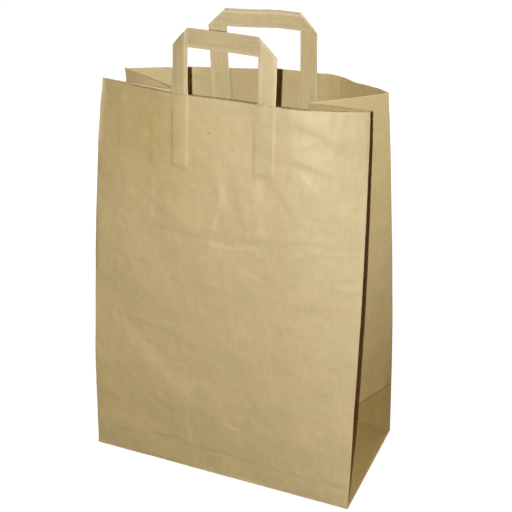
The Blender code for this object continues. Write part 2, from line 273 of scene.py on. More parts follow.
def rim_lean(across, panel):
    """How far in the rim of a panel stands at a place across it."""
    _, lean, left_bend, left_pull, right_bend, right_pull, curve = panel
    left = np.maximum(-across - left_bend, 0.0) / (WIDTH / 2 - left_bend)
    right = np.maximum(across - right_bend, 0.0) / (WIDTH / 2 - right_bend)
    return lean + left_pull * left**curve + right_pull * right**curve


def bent_across(across, share, panel):
    """Where a place across the panel lies in X once the panel is bent, at a share of its height."""
    step = across / BEND_STEPS
    total = np.zeros(np.shape(across))
    for index in range(BEND_STEPS):
        rise = rim_lean((index + 1) * step, panel) - rim_lean(index * step, panel)
        total = total + np.sqrt(np.maximum(step**2 - (share * rise) ** 2, 0.0))
    return total * np.sign(across)


def panel_shift(across, up, name):
    """How far the panel in the photograph stands from straight folds, in X and Y."""
    foot = np.clip(1 - up / FOOT_REACH, 0.0, 1.0)
    foot = foot * foot * (3 - 2 * foot)
    right = across / WIDTH + 0.5
    first, second = FOOT_SHIFT[(name, -1)], FOOT_SHIFT[(name, 1)]
    x = (first[0] + (second[0] - first[0]) * right) * foot
    y = (first[1] + (second[1] - first[1]) * right) * foot
    if name == "front":
        near_left = np.clip((-across - FRONT_LEFT_BEND) / (WIDTH / 2 - FRONT_LEFT_BEND), 0.0, 1.0)
        y = y + eased(up / MM, BELLY_HEIGHTS, BELLY) * near_left**FRONT_CURVE
    else:
        near_right = np.clip(across / (WIDTH / 2), 0.0, 1.0)
        near_left = np.clip(-across / (WIDTH / 2), 0.0, 1.0)
        x = x + eased(up / MM, BACK_EDGE_HEIGHTS, BACK_EDGE) * near_right**2
        x = x + BACK_LEFT_EDGE * np.clip(up / HEIGHT, 0.0, 1.0) ** 2 * near_left**2
    (wave_x, length_x), (wave_y, length_y) = EDGE_WAVES
    edge = np.exp((np.abs(across) - WIDTH / 2) / EDGE_FADE) * np.clip(up / 0.03, 0.0, 1.0)
    seed = 3 if name == "front" else 5
    x = x + wave_x * edge * soft_noise(up, np.sign(across), length_x, seed)
    y = y + wave_y * edge * soft_noise(up, np.sign(across), length_y, seed + 1)
    return x * MM, y * MM


def panel_point(across, up, name):
    """A place on the outside of the front or back panel. Above the rim it runs on straight."""
    panel = PANELS[name]
    below = np.minimum(up, HEIGHT)
    share = below / HEIGHT
    lean = rim_lean(across, panel)
    rise = np.sqrt(1 - (lean / HEIGHT) ** 2)
    shift_x, shift_y = panel_shift(across, below, name)
    x = bent_across(across, share, panel) - RIM_GATHER * share**2 * across / (WIDTH / 2) + shift_x
    beyond = up - below
    if name == "back":
        high = BACK_RISE * MM * eased(below, (0.26, HEIGHT), (0.0, 1.0))
        for place, width, wave in RIM_WAVES:
            shape = np.exp(-(((across / MM - place) / width) ** 2)) * wave * MM
            high = high + shape * eased(below, (HEIGHT - 0.05, HEIGHT), (0.0, 1.0))
        beyond = beyond + high
    y = panel[0] * (DEPTH / 2 - lean * (share + beyond / HEIGHT)) + shift_y
    return np.stack([x, y, (below + beyond) * rise], axis=-1)


def meeting_point(centres, lengths):
    """The place at three given distances from three others, on the side nearer the bag's middle."""
    first, second, third = centres
    gap = np.linalg.norm(second - first)
    ex = (second - first) / gap
    i = ex @ (third - first)
    ey = third - first - i * ex
    ey = ey / np.linalg.norm(ey)
    ez = np.cross(ex, ey)
    j = ey @ (third - first)
    x = (lengths[0] ** 2 - lengths[1] ** 2 + gap**2) / (2 * gap)
    y = (lengths[0] ** 2 - lengths[2] ** 2 + i**2 + j**2) / (2 * j) - i / j * x
    z = math.sqrt(max(lengths[0] ** 2 - x**2 - y**2, 0.0))
    found = [first + x * ex + y * ey + sign * z * ez for sign in (-1, 1)]
    return min(found, key=lambda point: abs(point[0]))


def corner_point(side, up, name):
    """A place on one of the four upright folds."""
    up = np.asarray(up, float)
    return panel_point(np.full(up.shape, side * WIDTH / 2), up, name)


def gusset_folds(side):
    """The ends of a gusset's middle crease: the low one, where the diagonals meet, and the rim one."""
    half = DEPTH / 2
    foot = (corner_point(side, 0.0, "front") + corner_point(side, 0.0, "back")) / 2
    low_corners = [corner_point(side, GUSSET_CREASE, name) for name in ("front", "back")]
    low = meeting_point([*low_corners, foot], [half, half, GUSSET_CREASE])
    rim_corners = [corner_point(side, HEIGHT, name) for name in ("front", "back")]
    high = meeting_point([*rim_corners, low], [half, half, HEIGHT - GUSSET_CREASE])
    return low, high


FOLDS = {side: gusset_folds(side) for side in (-1, 1)}


def gusset_point(across, up, side):
    """A place on a side gusset. Across runs from the front corner, negative, to the back one."""
    low, high = FOLDS[side]
    half = DEPTH / 2
    front, back = corner_point(side, up, "front"), corner_point(side, up, "back")
    is_front = (across < 0)[..., None]
    corner = np.where(is_front, front, back)
    middle = low + (high - low) * ((up - GUSSET_CREASE) / (HEIGHT - GUSSET_CREASE))[..., None]
    upper = middle + (corner - middle) * (np.abs(across) / half)[..., None]

    front_foot, back_foot = corner_point(side, 0.0, "front"), corner_point(side, 0.0, "back")
    foot = (front_foot + back_foot) / 2
    share = (np.minimum(up, GUSSET_CREASE) / GUSSET_CREASE)[..., None]
    reach = half * (1 - share[..., 0])
    end_fold = foot + (back_foot - front_foot) * (across / DEPTH)[..., None] + (low - foot) * share
    start = np.where(is_front, front_foot, back_foot)
    diagonal = start + (low - start) * share
    beyond = (np.abs(across) - reach) / np.maximum(half - reach, 1e-9)
    flank = diagonal + (corner - diagonal) * np.clip(beyond, 0.0, 1.0)[..., None]
    lower = np.where((np.abs(across) <= reach)[..., None], end_fold, flank)
    return np.where((up >= GUSSET_CREASE)[..., None], upper, lower)


def folded_point(face, place, up):
    """A place on the smooth folded sheet, before creases and dents."""
    if face in PANELS:
        return panel_point(place, up, face)
    return gusset_point(place, up, 1 if face == "right" else -1)


def folded_normal(face, place, up):
    """The direction out of the sheet at a place on it."""
    step = 0.0003
    inside = np.minimum(up, HEIGHT - step)
    half = WIDTH / 2 if face in PANELS else DEPTH / 2
    middle = np.clip(place, -half + step, half - step)
    if face not in PANELS:
        middle = np.where(np.abs(middle) < step, np.where(middle < 0, -step, step), middle)
    along = folded_point(face, middle + step, inside) - folded_point(face, middle - step, inside)
    under = np.maximum(inside - step, 0.0)
    rise = folded_point(face, middle, inside + step) - folded_point(face, middle, under)
    out = np.cross(along, rise) * (1.0 if face in ("front", "right") else -1.0)
    return out / np.linalg.norm(out, axis=-1, keepdims=True)


def crease(across, up, points, height, sharp, soft):
    """One crease line: a step across it that fades away on both sides, and how near the line is."""
    gap = np.full(np.shape(across), np.inf)
    offset = np.zeros(np.shape(across))
    for (x0, y0), (x1, y1) in zip(points, points[1:]):
        dx, dy = x1 - x0, y1 - y0
        span = math.hypot(dx, dy)
        share = np.clip(((across - x0) * dx + (up - y0) * dy) / span**2, 0.0, 1.0)
        here = np.hypot(across - x0 - share * dx, up - y0 - share * dy)
        side = ((up - y0) * dx - (across - x0) * dy) / span
        nearer = here < gap
        gap = np.where(nearer, here, gap)
        offset = np.where(nearer, side, offset)
    return height * np.tanh(offset / sharp) * np.exp(-gap / soft), np.exp(-((gap / (0.8 * sharp)) ** 2))


def loose_creases(face):
    """Short faint creases from handling, strewn over a face in a repeatable way."""
    rng = np.random.default_rng(11 + FACES.index(face))
    half = (WIDTH if face in PANELS else DEPTH) / MM / 2
    marks = []
    for _ in range(LOOSE_CREASES[face]):
        x, y = rng.uniform(-0.9 * half, 0.9 * half), rng.uniform(25, 425)
        turn = rng.uniform(-0.5, 0.5) + (math.pi / 2 if rng.random() < 0.35 else 0.0)
        points = [(x, y)]
        for _ in range(3):
            turn += rng.uniform(-0.5, 0.5)
            step = rng.uniform(6, 17)
            x, y = x + step * math.cos(turn), y + step * math.sin(turn)
            points.append((x, y))
        height = rng.uniform(0.05, 0.13) * (1 if rng.random() < 0.5 else -1)
        marks.append((tuple(points), height, rng.uniform(1.2, 2.8), rng.uniform(6, 12)))
    return marks


CREASES = {face: loose_creases(face) for face in FACES}
CREASES["front"] += FRONT_CREASES


def pads(across, up, places):
    """The paper raised over the handle legs that are glued behind it."""
    rise = np.zeros(np.shape(across))
    left_soft = PAD_SOFT * (1 + 2.5 * np.exp((up - HEIGHT / MM) / 12))
    for left, right, foot in places:
        inside = 1 / (1 + np.exp(-(across - left) / left_soft)) / (1 + np.exp((across - right) / PAD_SOFT))
        rise += PAD_RISE * inside / (1 + np.exp(-(up - foot) / (1.3 * PAD_SOFT)))
    return rise


def fold_distance(face, across, up):
    """How far a place is from the nearest fold of its face, in mm."""
    half = (WIDTH if face in PANELS else DEPTH) / MM / 2
    gap = np.minimum(half - np.abs(across), up)
    if face not in PANELS:
        crease_up = GUSSET_CREASE / MM
        slope = math.hypot(half, crease_up)
        diagonal = np.abs(np.abs(across) * crease_up + up * half - half * crease_up) / slope
        gap = np.where(up > crease_up, np.minimum(gap, np.abs(across)), np.minimum(gap, diagonal))
        gap = np.minimum(gap, np.abs(up - crease_up))
    return np.maximum(gap, 0.0)


def surface_marks(face, place, up):
    """How far the real paper stands out from the smooth fold, in metres, and how worn it is there."""
    across, height = place / MM, np.minimum(up, HEIGHT) / MM
    seed = 20 + 10 * FACES.index(face)
    swell, roll, ripple, dimple = [
        waves * soft_noise(across, height, size, seed + n) for n, (waves, size) in enumerate(RELIEF)
    ]
    rise = (swell + roll) + (ripple + dimple)
    wear = np.zeros(np.shape(across))
    patchy = CREASE_STRENGTH
    for n, (strength, size) in enumerate(CREASE_WAVES):
        patchy = patchy + strength * soft_noise(across, height, size, seed + 6 + n)
    for mark in CREASES[face]:
        step, line = crease(across, height, *mark)
        rise = rise + step * (patchy if abs(mark[1]) < BOLD_CREASE else CREASE_STRENGTH)
        wear = np.maximum(wear, line * abs(mark[1]) * CREASE_WEAR)
    if face in PANELS:
        rim = np.exp((height - HEIGHT / MM) / FLUTTER_REACH)
        wave = np.sin(across / FLUTTER_LENGTH + 2.4 * soft_noise(across, height * 0, 31, seed + 4))
        rise = rise + FLUTTER_RISE * rim * wave * (0.4 + soft_noise(across, height * 0, 23, seed + 5))
        rise = rise + pads(across, height, PADS[face])
    gap = fold_distance(face, across, height)
    calm = np.clip(gap / CALM_REACH, 0.0, 1.0)
    rise = rise * calm * calm * (3 - 2 * calm)
    if face not in PANELS:
        # The halves bulge along the crease line that the flat bag was folded on.
        bulge_rise, bulge_reach = GUSSET_BULGE
        step_rise, step_sharp, step_reach = GUSSET_STEP
        from_fold = np.minimum(DEPTH / MM / 2 - np.abs(across), np.abs(across))
        inner = np.clip(from_fold / GUSSET_HALF_EDGE, 0.0, 1.0)
        above = height - GUSSET_CREASE / MM
        line = np.exp(-np.abs(above) / bulge_reach)
        step = step_rise * np.tanh(above / step_sharp) * np.exp(-np.abs(above) / step_reach)
        rise = GUSSET_CALM * rise + (bulge_rise * line + step) * inner * inner * (3 - 2 * inner)
    if face == "back":
        seam, end = SEAM_PLACE / MM, (SEAM_PLACE + SEAM_LAP) / MM
        slope = SEAM_SLOPE / MM
        lap = np.clip((across - seam) / LAP_EDGE, 0, 1) * np.clip((end + slope - across) / slope, 0, 1)
        rise = rise + lap * SHEET_THICKNESS / MM
    wear = np.maximum(wear, FOLD_WEAR * np.exp(-((gap / FOLD_WEAR_WIDTH) ** 2)) * (height > 1))
    return rise * MM, wear


def soft_spot(across, height, spot):
    """A round patch that fades away from its middle."""
    x, y, half_width, half_height = spot
    return np.exp(-(((across - x) / half_width) ** 2) - ((height - y) / half_height) ** 2)


def painted_light_and_shade(face, place, up):
    """The painted light and shade at a place: the shares of red, green and blue the paper keeps, beside its
    plain colour.
    """
    across, height = place / MM, up / MM
    if face == "front":
        # Painted shade grows to the left, downwards and in the upper left spot; below 0 it is painted
        # light, towards the upper right and in the lower left spot.
        corner = soft_spot(across, height, UPPER_LEFT_SHADE_SPOT)
        shade_slope = 0.03 - SHADE_LEFT * across / 120 - SHADE_LOW * (height - 225) / 165
        warm = shade_slope + 0.95 * corner
        dark = 0.03 * corner - 0.05 * soft_spot(across, height, LOWER_LEFT_LIGHT_SPOT)
    elif face == "back":
        # Painted shade near the rim, stronger to the right and past the seam, and painted light to the
        # left.
        seam = SEAM_PLACE / MM
        near_rim = eased(height, BACK_SHADE_HEIGHTS, (0.0, 1.0))
        shade_past_seam = near_rim * eased(across, (seam - 1, seam + 1), (0.0, 1.0))
        warm = near_rim * eased(across, BACK_SHADE_PLACES, (-0.2, 0.5)) + 0.3 * shade_past_seam
        dark = near_rim * eased(across, BACK_SHADE_PLACES, (-0.10, 0.07)) + 0.05 * shade_past_seam
    else:
        # Painted shade on the gusset, strongest just below its crease and fading towards the rim.
        crease_up = GUSSET_CREASE / MM
        levels = (1.6, 2.0, 1.2, 0.4, GUSSET_RIM_SHADE[face])
        warm = eased(height, (0, crease_up - 1, crease_up + 1, 240, 450), levels)
        # A painted shadow line just under the crease.
        strength, drop, width = CREASE_SHADOW_LINE
        dark = strength * np.exp(-(((height - crease_up + drop) / width) ** 2))
    return (1 - warm[..., None] * np.array(SHADE_LOSS)) * (1 - dark)[..., None]


def sheet_point(face, place, up, out=0.0):
    """A place on the creased sheet, or at a height out from it."""
    rise, _ = surface_marks(face, place, up)
    base = folded_point(face, place, up)
    return base + folded_normal(face, place, up) * (rise + out)[..., None]


def kraft_material(name, colour, streaks):
    """Unbleached kraft paper: clouded pulp, fine fibres and specks, a matt surface with a faint tooth."""
    material = bpy.data.materials.new(name)
    material.use_nodes = True
    tree = material.node_tree
    nodes, links = tree.nodes, tree.links
    shader = nodes["Principled BSDF"]

    def node(kind, **settings):
        made = nodes.new(kind)
        for key, value in settings.items():
            setattr(made, key, value)
        return made

    def noise(source, scale, detail, roughness, stretch=(1.0, 1.0, 1.0)):
        mapping = node("ShaderNodeMapping")
        mapping.inputs["Scale"].default_value = stretch
        links.new(source, mapping.inputs["Vector"])
        texture = node("ShaderNodeTexNoise")
        texture.inputs["Scale"].default_value = scale
        texture.inputs["Detail"].default_value = detail
        texture.inputs["Roughness"].default_value = roughness
        links.new(mapping.outputs["Vector"], texture.inputs["Vector"])
        return texture.outputs["Fac"]

    def ramp(source, stops):
        made = node("ShaderNodeValToRGB")
        for element, stop in zip(made.color_ramp.elements, stops):
            element.position, element.color = stop
        links.new(source, made.inputs["Fac"])
        return made.outputs["Color"]

    def blend(kind, share, first, second):
        made = node("ShaderNodeMix", data_type="RGBA", blend_type=kind)
        if isinstance(share, float):
            made.inputs["Factor"].default_value = share
        else:
            links.new(share, made.inputs["Factor"])
        # Inputs 6 and 7 are a Mix node's two colours, and output 2 is the mixed one.
        for value, socket in ((first, made.inputs[6]), (second, made.inputs[7])):
            if isinstance(value, tuple):
                socket.default_value = value
            else:
                links.new(value, socket)
        return made.outputs[2]

    def grey(level):
        return (level, level, level, 1.0)

    def tint(share):
        return (*(min(1.0, part * share) for part in colour), 1.0)

    coordinates = node("ShaderNodeTexCoord")
    sheet = node("ShaderNodeUVMap", uv_map="sheet")
    clouds = noise(coordinates.outputs["Object"], 34.0, 4.0, 0.6)
    mottle = noise(coordinates.outputs["Object"], 170.0, 3.0, 0.6)
    fibres = noise(sheet.outputs["UV"], 1.0, 3.0, 0.65, (2600.0, 420.0, 1.0))
    threads = noise(sheet.outputs["UV"], 1.0, 3.0, 0.55, (430.0, 36.0, 1.0))
    specks = noise(sheet.outputs["UV"], 1500.0, 1.0, 0.4)

    base = ramp(clouds, [(0.3, tint(0.965)), (0.7, tint(1.035))])
    base = blend("MULTIPLY", 1.0, base, ramp(mottle, [(0.3, grey(0.935)), (0.7, grey(1.0))]))
    base = blend("MULTIPLY", 1.0, base, ramp(fibres, [(0.25, grey(0.88)), (0.75, grey(1.0))]))
    base = blend("MULTIPLY", 1.0, base, ramp(threads, [(0.32, grey(streaks)), (0.66, grey(1.0))]))
    dark = ramp(specks, [(0.74, grey(0.0)), (0.80, grey(0.45))])
    base = blend("MIX", dark, base, tint(0.55))
    spot = node("ShaderNodeVectorMath", operation="DISTANCE")
    links.new(sheet.outputs["UV"], spot.inputs[0])
    spot.inputs[1].default_value = PULP_SPECK
    near = node("ShaderNodeMapRange")
    for socket, value in (("From Min", 0.0006), ("From Max", 0.0011), ("To Min", 0.9), ("To Max", 0.0)):
        near.inputs[socket].default_value = value
    links.new(spot.outputs["Value"], near.inputs["Value"])
    base = blend("MIX", near.outputs["Result"], base, tint(0.35))
    # The tone attribute, painted light and shade, multiplies the colour.
    tone = node("ShaderNodeAttribute", attribute_name="tone")
    base = blend("MULTIPLY", 1.0, base, tone.outputs["Color"])
    # The wear attribute pales worn folds and edges, and on the handles also holds the painted ply
    # highlight.
    worn = node("ShaderNodeAttribute", attribute_name="wear")
    worn_colour = tuple(0.55 * part + 0.45 * pale for part, pale in zip(tint(1.08), WORN_PALE))
    base = blend("MIX", worn.outputs["Fac"], base, worn_colour)
    links.new(base, shader.inputs["Base Color"])

    rough = node("ShaderNodeMapRange")
    rough.inputs["To Min"].default_value = 0.60
    rough.inputs["To Max"].default_value = 0.72
    links.new(mottle, rough.inputs["Value"])
    links.new(rough.outputs["Result"], shader.inputs["Roughness"])
    shader.inputs["IOR"].default_value = 1.6
    shader.inputs["Specular IOR Level"].default_value = 1.0

    tooth = node("ShaderNodeBump")
    tooth.inputs["Strength"].default_value = 0.55
    tooth.inputs["Distance"].default_value = 0.00006
    links.new(fibres, tooth.inputs["Height"])
    cockle = node("ShaderNodeBump")
    cockle.inputs["Strength"].default_value = 0.5
    cockle.inputs["Distance"].default_value = 0.0004
    links.new(mottle, cockle.inputs["Height"])
    links.new(tooth.outputs["Normal"], cockle.inputs["Normal"])
    links.new(cockle.outputs["Normal"], shader.inputs["Normal"])
    return material


def make_piece(name, points, faces, uvs, wear, tone, material, sharp=0.65):
    """One mesh object with its paper coordinates, wear and tone, which is painted light and shade."""
    mesh = bpy.data.meshes.new(name)
    mesh.from_pydata([tuple(p) for p in points], [], faces)
    mesh.validate()
    layer = mesh.uv_layers.new(name="sheet")
    corners = np.empty(len(mesh.loops), int)
    mesh.loops.foreach_get("vertex_index", corners)
    layer.data.foreach_set("uv", np.asarray(uvs)[corners].astype(np.float32).ravel())
    worn = mesh.attributes.new("wear", "FLOAT", "POINT")
    worn.data.foreach_set("value", np.asarray(wear, np.float32))
    toned = mesh.attributes.new("tone", "FLOAT_VECTOR", "POINT")
    toned.data.foreach_set("vector", np.broadcast_to(tone, (len(points), 3)).astype(np.float32).ravel())
    mesh.materials.append(material)
    mesh.shade_smooth()
    mesh.set_sharp_from_angle(angle=sharp)
    piece = bpy.data.objects.new(name, mesh)
    bpy.context.scene.collection.objects.link(piece)
    return piece


def sheet_columns():
    """The upright lines of the sheet, once round: the face that each is on and its place there."""
    columns = []
    for face in FACES:
        panel = face in PANELS
        half = (WIDTH if panel else DEPTH) / 2
        cells = PANEL_CELLS if panel else 2 * GUSSET_CELLS
        places = {round(half * (2 * i / cells - 1), 7) for i in range(cells + 1)}
        places |= {round(sign * (half - gap), 7) for sign in (-1, 1) for gap in FOLD_ROUND}
        if not panel:
            places |= {sign * gap for sign in (-1, 1) for gap in FOLD_ROUND}
        edges = [edge for left, right, _ in PADS.get(face, []) for edge in (left, right)]
        places |= {round((edge + gap) * MM, 7) for edge in edges for gap in (-1.6, -0.5, 0.5, 1.6)}
        if face == "back":
            seam_end = SEAM_PLACE + SEAM_LAP
            places |= {SEAM_PLACE - 0.0001, SEAM_PLACE + 0.0006, seam_end + SEAM_SLOPE}
        order = sorted(places, reverse=face in ("back", "left"))
        columns += [(face, place) for place in order[:-1]]
    return columns


def sheet_rows():
    """How far up the rows of the sheet lie, with close rows beside the bottom and the gusset crease."""
    scale = GUSSET_CREASE / (DEPTH / 2)
    near = [gap * scale for gap in FOLD_ROUND]
    rows = {GUSSET_CREASE * i / GUSSET_CELLS for i in range(GUSSET_CELLS + 1)}
    rows |= set(near) | {GUSSET_CREASE - gap for gap in near} | {GUSSET_CREASE + gap for gap in near}
    top = HEIGHT - TOOTH_BAND
    count = round((top - GUSSET_CREASE) / ROW_HEIGHT)
    rows |= {GUSSET_CREASE + (top - GUSSET_CREASE) * (i + 1) / count for i in range(count)}
    return sorted(rows)


def ring_values(columns, rows, evaluate):
    """Values over the whole grid, worked out face by face. Rows may differ from column to column."""
    ups = np.asarray(rows, float)
    places = np.broadcast_to([place for _, place in columns], ups.shape)
    faces = np.array([face for face, _ in columns])
    result = None
    for face in FACES:
        own = faces == face
        values = evaluate(face, places[:, own], ups[:, own])
        if result is None:
            result = np.empty(ups.shape + values.shape[2:])
        result[:, own] = values
    return result


def soften_folds(grid, columns, rows):
    """Rounds the upright folds, so that they are pressed rather than knife-sharp."""
    count = len(columns)
    starts = [i for i in range(count) if columns[i - 1][0] != columns[i][0]]
    middles = [i for i in range(count) if columns[i][0] not in PANELS and abs(columns[i][1]) < 1e-6]
    high = np.asarray(rows) > GUSSET_CREASE + 0.001
    plain = grid.copy()
    for i in starts + middles:
        use = high if i in middles else np.ones(len(rows), bool)
        before, after = (i - 1) % count, (i + 1) % count
        grid[use, i] = 0.4 * plain[use, i] + 0.3 * (plain[use, before] + plain[use, after])
        for near, far in ((before, (i - 2) % count), (after, (i + 2) % count)):
            grid[use, near] = 0.84 * plain[use, near] + 0.08 * (plain[use, i] + plain[use, far])
    return grid


def flap_plates(corners):
    """The folded bottom: thin plates with (outline, low level, high level) that overlap one another."""
    front_left, front_right, back_right, back_left = corners
    inset = 0.0008
    middle = {side: (WIDTH / 2 - DEPTH / 2 - inset) * side for side in (-1, 1)}
    reach = WIDTH / 2 - DEPTH / 2 - FLAP_LAP
    back = [back_left, (middle[-1], 0), (-reach, -FLAP_LAP)]
    back += [(reach, -FLAP_LAP), (middle[1], 0), back_right]
    front = [front_left, front_right, (middle[1], 0)]
    front += [(reach, FLAP_LAP), (-reach, FLAP_LAP), (middle[-1], 0)]
    ends = [[front_right, back_right, (middle[1], 0)], [front_left, (middle[-1], 0), back_left]]
    plates = [(back, 0.0, FLAP_PLY), (front, FLAP_PLY, 2 * FLAP_PLY)]
    plates += [(end, 2 * FLAP_PLY, FLOOR_LEVEL) for end in ends]
    inside = FLOOR_LEVEL + SHEET_THICKNESS
    return plates + [(end, inside, inside + SHEET_THICKNESS) for end in ends]


def bridge(lower, upper):
    """Triangles between two rows of points, each a list of (place along, index) in order."""
    faces = []
    i = j = 0
    while i < len(lower) - 1 or j < len(upper) - 1:
        if j == len(upper) - 1 or (i < len(lower) - 1 and lower[i + 1][0] <= upper[j + 1][0]):
            faces.append((lower[i][1], lower[i + 1][1], upper[j][1]))
            i += 1
        else:
            faces.append((lower[i][1], upper[j + 1][1], upper[j][1]))
            j += 1
    return faces


def wall_faces(face, places, rows):
    """The faces of one wall's grid. Below the gusset crease they are split along its diagonals."""
    size = len(places)
    way = 1 if face in ("front", "right") else -1
    faces = []
    for j in range(len(rows) - 1):
        for i in range(size - 1):
            a, b, c, d = j * size + i, j * size + i + 1, (j + 1) * size + i + 1, (j + 1) * size + i
            if face in PANELS or rows[j] >= GUSSET_CREASE:
                faces.append((a, b, c, d))
            elif (places[i] + places[i + 1]) * way < 0:
                faces += [(a, b, c), (a, c, d)]
            else:
                faces += [(a, b, d), (b, c, d)]
    return faces


def thicken(piece):
    """Gives a sheet its paper thickness, inwards."""
    paper = piece.modifiers.new("paper", "SOLIDIFY")
    paper.thickness = SHEET_THICKNESS
    paper.offset = -1.0


def bag_wall(face, places, rows, start, plain, grid, wear, tone, material):
    """One face of the sheet with its toothed rim. Its columns run round the bag from a distance, start."""
    way = 1 if face in ("front", "right") else -1
    length = WIDTH if face in PANELS else DEPTH
    along = [place * way + length / 2 for place in places]
    points = list(grid.reshape(-1, 3))
    uvs = [(start + s, up) for up in rows for s in along]
    worn = list(wear.ravel())
    toned = list(tone.reshape(-1, 3))

    # The cut edge: teeth, with a valley on each line and a tip between two.
    teeth = round(length / TOOTH_PITCH)
    edge = np.arange(2 * teeth + 1) * length / (2 * teeth)
    is_tip = np.arange(2 * teeth + 1) % 2
    ups = HEIGHT - TOOTH_DEPTH * (1 - is_tip)
    cut_places = (edge - length / 2) * way
    cut = sheet_point(face, cut_places, ups)
    moved = grid[-1] - plain[-1]
    cut += np.stack([np.interp(edge, along, moved[:, axis]) for axis in range(3)], axis=1)
    first, top = len(points), (len(rows) - 1) * len(places)
    points += list(cut)
    uvs += [(start + s, up) for s, up in zip(edge, ups)]
    worn += [0.0] * len(edge)
    # Painted shadow darkens the panels' rim in each tooth valley.
    # The gussets' cut edges keep only the sheet's painted light and shade.
    cut_shadow_tone = np.array([VALLEY_SHADOW_TONE, TIP_TONE])[is_tip] if face in PANELS else 1.0
    toned += list(painted_light_and_shade(face, cut_places, ups) * cut_shadow_tone)
    faces = wall_faces(face, places, rows)
    last_row = [(s, top + i) for i, s in enumerate(along)]
    faces += bridge(last_row, [(s, first + i) for i, s in enumerate(edge)])

    wall = make_piece(f"sheet_{face}", points, faces, uvs, worn, toned, material)
    thicken(wall)
    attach(wall, "root")
    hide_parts("bag_body")


def bag_floor(foot, material):
    """The bottom: the foot of the walls turns in, and rings of the same outline close it."""
    count = len(foot)
    centre = foot.mean(axis=0)
    inward = np.roll(foot, -1, axis=0) - np.roll(foot, 1, axis=0)
    inward = np.stack([-inward[:, 1], inward[:, 0], inward[:, 2] * 0], axis=1)
    inward = inward / np.linalg.norm(inward, axis=1, keepdims=True)
    rings = [foot, foot + inward * FOOT_TURN]
    rings += [centre + (foot - centre) * share for share in (0.6, 0.2)]
    for ring in rings[1:]:
        ring[:, 2] = FLOOR_LEVEL
    points = list(np.concatenate(rings)) + [np.array([centre[0], centre[1], FLOOR_LEVEL])]
    faces = []
    for n in range(len(rings) - 1):
        outer, inner = n * count, (n + 1) * count
        for i in range(count):
            k = (i + 1) % count
            faces.append((outer + k, outer + i, inner + i, inner + k))
    last = (len(rings) - 1) * count
    faces += [(last + (i + 1) % count, last + i, len(points) - 1) for i in range(count)]
    uvs = [(point[0], point[1]) for point in points]
    wear = [0.0] * len(points)
    floor = make_piece("sheet_floor", points, faces, uvs, wear, (1, 1, 1), material)
    thicken(floor)
    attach(floor, "root")
    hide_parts("bag_body")


def bag_flaps(corners, material):
    """The folded flaps of the bottom, over and under one another."""
    points, faces, uvs = [], [], []
    for outline, low, high in flap_plates(corners):
        start, size = len(points), len(outline)
        points += [(x, y, low) for x, y in outline] + [(x, y, high) for x, y in outline]
        uvs += 2 * [tuple(place) for place in outline]
        lower, upper = list(range(start, start + size)), list(range(start + size, start + 2 * size))
        faces += [tuple(reversed(lower)), tuple(upper)]
        faces += [(lower[n], lower[(n + 1) % size], upper[(n + 1) % size], upper[n]) for n in range(size)]
    wear = [0.0] * len(points)
    flaps = make_piece("bottom_flaps", points, faces, uvs, wear, (1, 1, 1), material)
    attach(flaps, "root")


def bag_sheet(material):
    """The folded sheet: four walls that share one grid, the floor and its flaps."""
    columns = sheet_columns()
    rows = sheet_rows()
    count = len(columns)
    ups = np.repeat(np.asarray(rows)[:, None], count, axis=1)
    plain = ring_values(columns, ups, sheet_point)
    wear = ring_values(columns, ups, lambda *where: surface_marks(*where)[1])
    grid = soften_folds(plain, columns, rows)
    grid[0, :, 2] = FLOOR_LEVEL + FOOT_TURN
    start = 0.0
    corners = []
    for face in FACES:
        length = WIDTH if face in PANELS else DEPTH
        own = [i for i, (name, _) in enumerate(columns) if name == face]
        corners.append(grid[0, own[0]][:2])
        places = [columns[i][1] for i in own]
        places.append(-places[0])
        own.append((own[-1] + 1) % count)
        spread = np.broadcast_to(places, (len(rows), len(places)))
        tone = painted_light_and_shade(face, spread, ups[:, :len(places)])
        bag_wall(face, places, rows, start, plain[:, own], grid[:, own], wear[:, own], tone, material)
        start += length
    bag_floor(grid[0].copy(), material)
    bag_flaps([tuple(corner * (1 - FLAP_INSET / (WIDTH / 2))) for corner in corners], material)


def strip_section():
    """The shown and hidden sides of the strip's cross-section: (share across, height out of its back)."""
    top, low = STRIP_THICKNESS, STRIP_THICKNESS - PLY_STEP
    step = 1 - PLY_MARGIN / HANDLE_STRIP
    shown = [(0.0, 0.55 * top), (0.004, 0.86 * top), (0.018, top), (0.25, top), (0.5, top), (0.7, top)]
    shown += [(step - 0.012, top), (step, 0.93 * top), (step + 0.003, low)]
    shown += [(0.93, low), (0.982, low), (0.996, 0.8 * low)]
    hidden = [(1.0, 0.45 * top), (0.996, 0.14 * top), (0.982, 0.0), (0.94, 0.0), (0.7, 0.0), (0.5, 0.0)]
    hidden += [(0.25, 0.0), (0.018, 0.0), (0.004, 0.14 * top)]
    return shown, hidden


def handle_bow(across, up, name):
    """How far the free part of a handle stands out of its panel's plane: the legs have turned."""
    free = eased(up, BOW_ZONE, (0.0, 1.0))
    out, left_turn, right_turn = HANDLE_BOW[name]
    turn = np.where(across < 0, left_turn, right_turn)
    beside = np.clip((np.abs(across) - LEG_INNER) / LEG_TURN_REACH, 0.0, 1.0)
    return (out - turn * beside**LEG_TURN_CURVE) * free * MM


def strip_light_and_shade(panel, across, bar, shares):
    """The painted light and shade of a strip. The bar is 1 on the bar and 0 on the legs, and a bar's top
    edge gets a painted shadow.
    """
    if panel == "front":
        strip_shade = BAR_SHADE * bar + RIGHT_LEG_SHADE * (across > 0) * (1 - bar)
    else:
        strip_shade = BACK_LEG_LIGHT * (1 - bar)
    edge = bar * (shares > TOP_EDGE_SHARE)
    return (1 - strip_shade[..., None]) * (1 - edge[..., None] * np.array(TOP_EDGE_SHADOW_LOSS))


